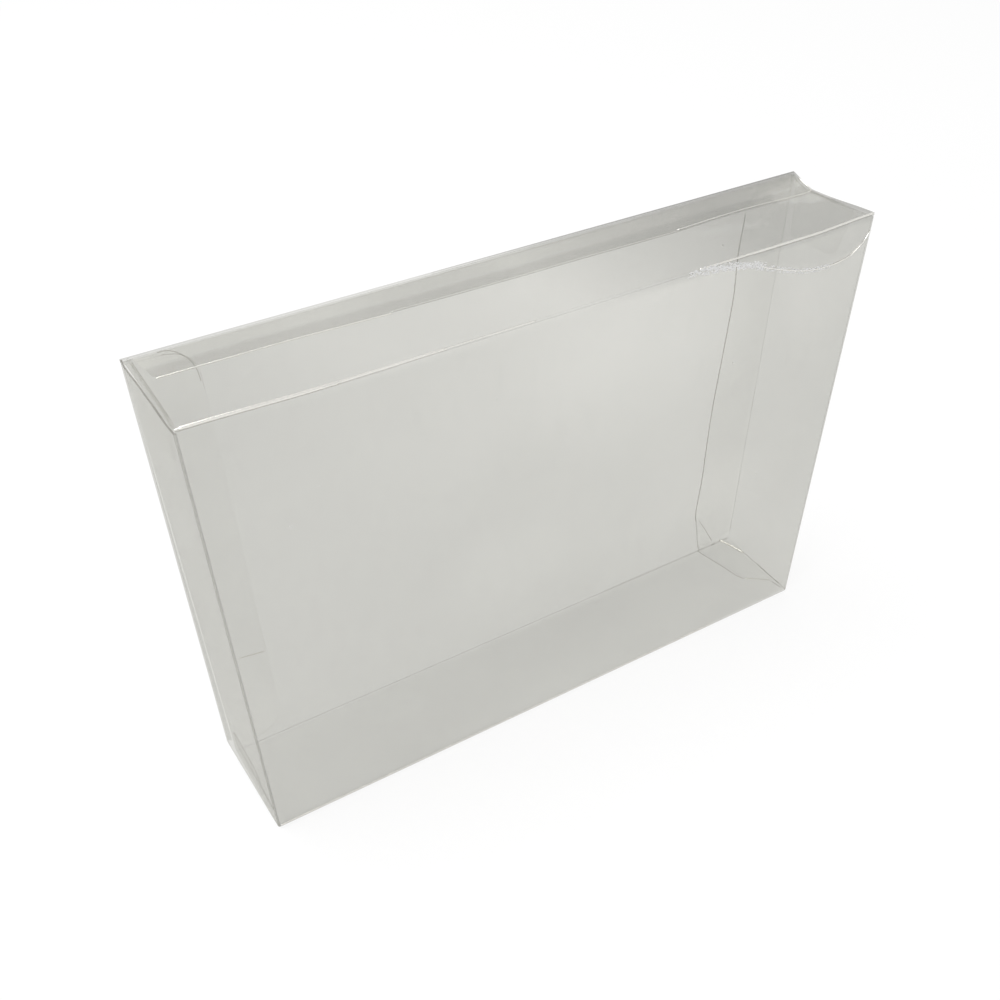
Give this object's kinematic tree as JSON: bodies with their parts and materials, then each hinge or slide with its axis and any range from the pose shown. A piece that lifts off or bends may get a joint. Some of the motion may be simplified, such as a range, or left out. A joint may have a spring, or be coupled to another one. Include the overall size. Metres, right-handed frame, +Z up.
{
  "type": "clear box protector",
  "caption": "Slim clear film box that slips over a boxed game, with a glued top seam, dust flaps and a hinged lid with a tuck flap at each end.",
  "frame": {"origin": "centre of the box's base, on the surface that it stands on", "axes": "+X along the width from the left lid to the right lid, +Y through the depth from the front wall to the back wall, +Z up"},
  "size_m": [0.1879, 0.032, 0.1325],
  "materials": {
    "clear_film": "clear gloss film, faintly grey"
  },
  "bodies": {
    "sleeve": {"box_sleeve": "clear_film"},
    "left_end": {"left_lid": "clear_film"},
    "left_tuck": {"left_tuck_flap": "clear_film"},
    "right_end": {"right_lid": "clear_film"},
    "right_tuck": {"right_tuck_flap": "clear_film"}
  },
  "joints": [
    {"name": "left_lid_hinge", "type": "hinge", "parent": "sleeve", "child": "left_end", "pos_m": [-0.093, -0.016, 0.0003], "axis": [0, 0, 1], "range_deg": [0, 110]},
    {"name": "left_tuck_fold", "type": "hinge", "parent": "left_end", "child": "left_tuck", "pos_m": [-0.0945, 0.0148, 0.0045], "axis": [-0.0094, 0, -1], "range_deg": [0, 49.5]},
    {"name": "right_lid_hinge", "type": "hinge", "parent": "sleeve", "child": "right_end", "pos_m": [0.093, -0.016, 0.0003], "axis": [0, 0, -1], "range_deg": [0, 110]},
    {"name": "right_tuck_fold", "type": "hinge", "parent": "right_end", "child": "right_tuck", "pos_m": [0.0926, 0.0148, 0.0045], "axis": [0, 0, 1], "range_deg": [0, 49.5]}
  ],
  "couplings": [
    {"joint": "left_tuck_fold", "follows": "left_lid_hinge", "ratio": 0.45},
    {"joint": "right_tuck_fold", "follows": "right_lid_hinge", "ratio": 0.45}
  ]
}
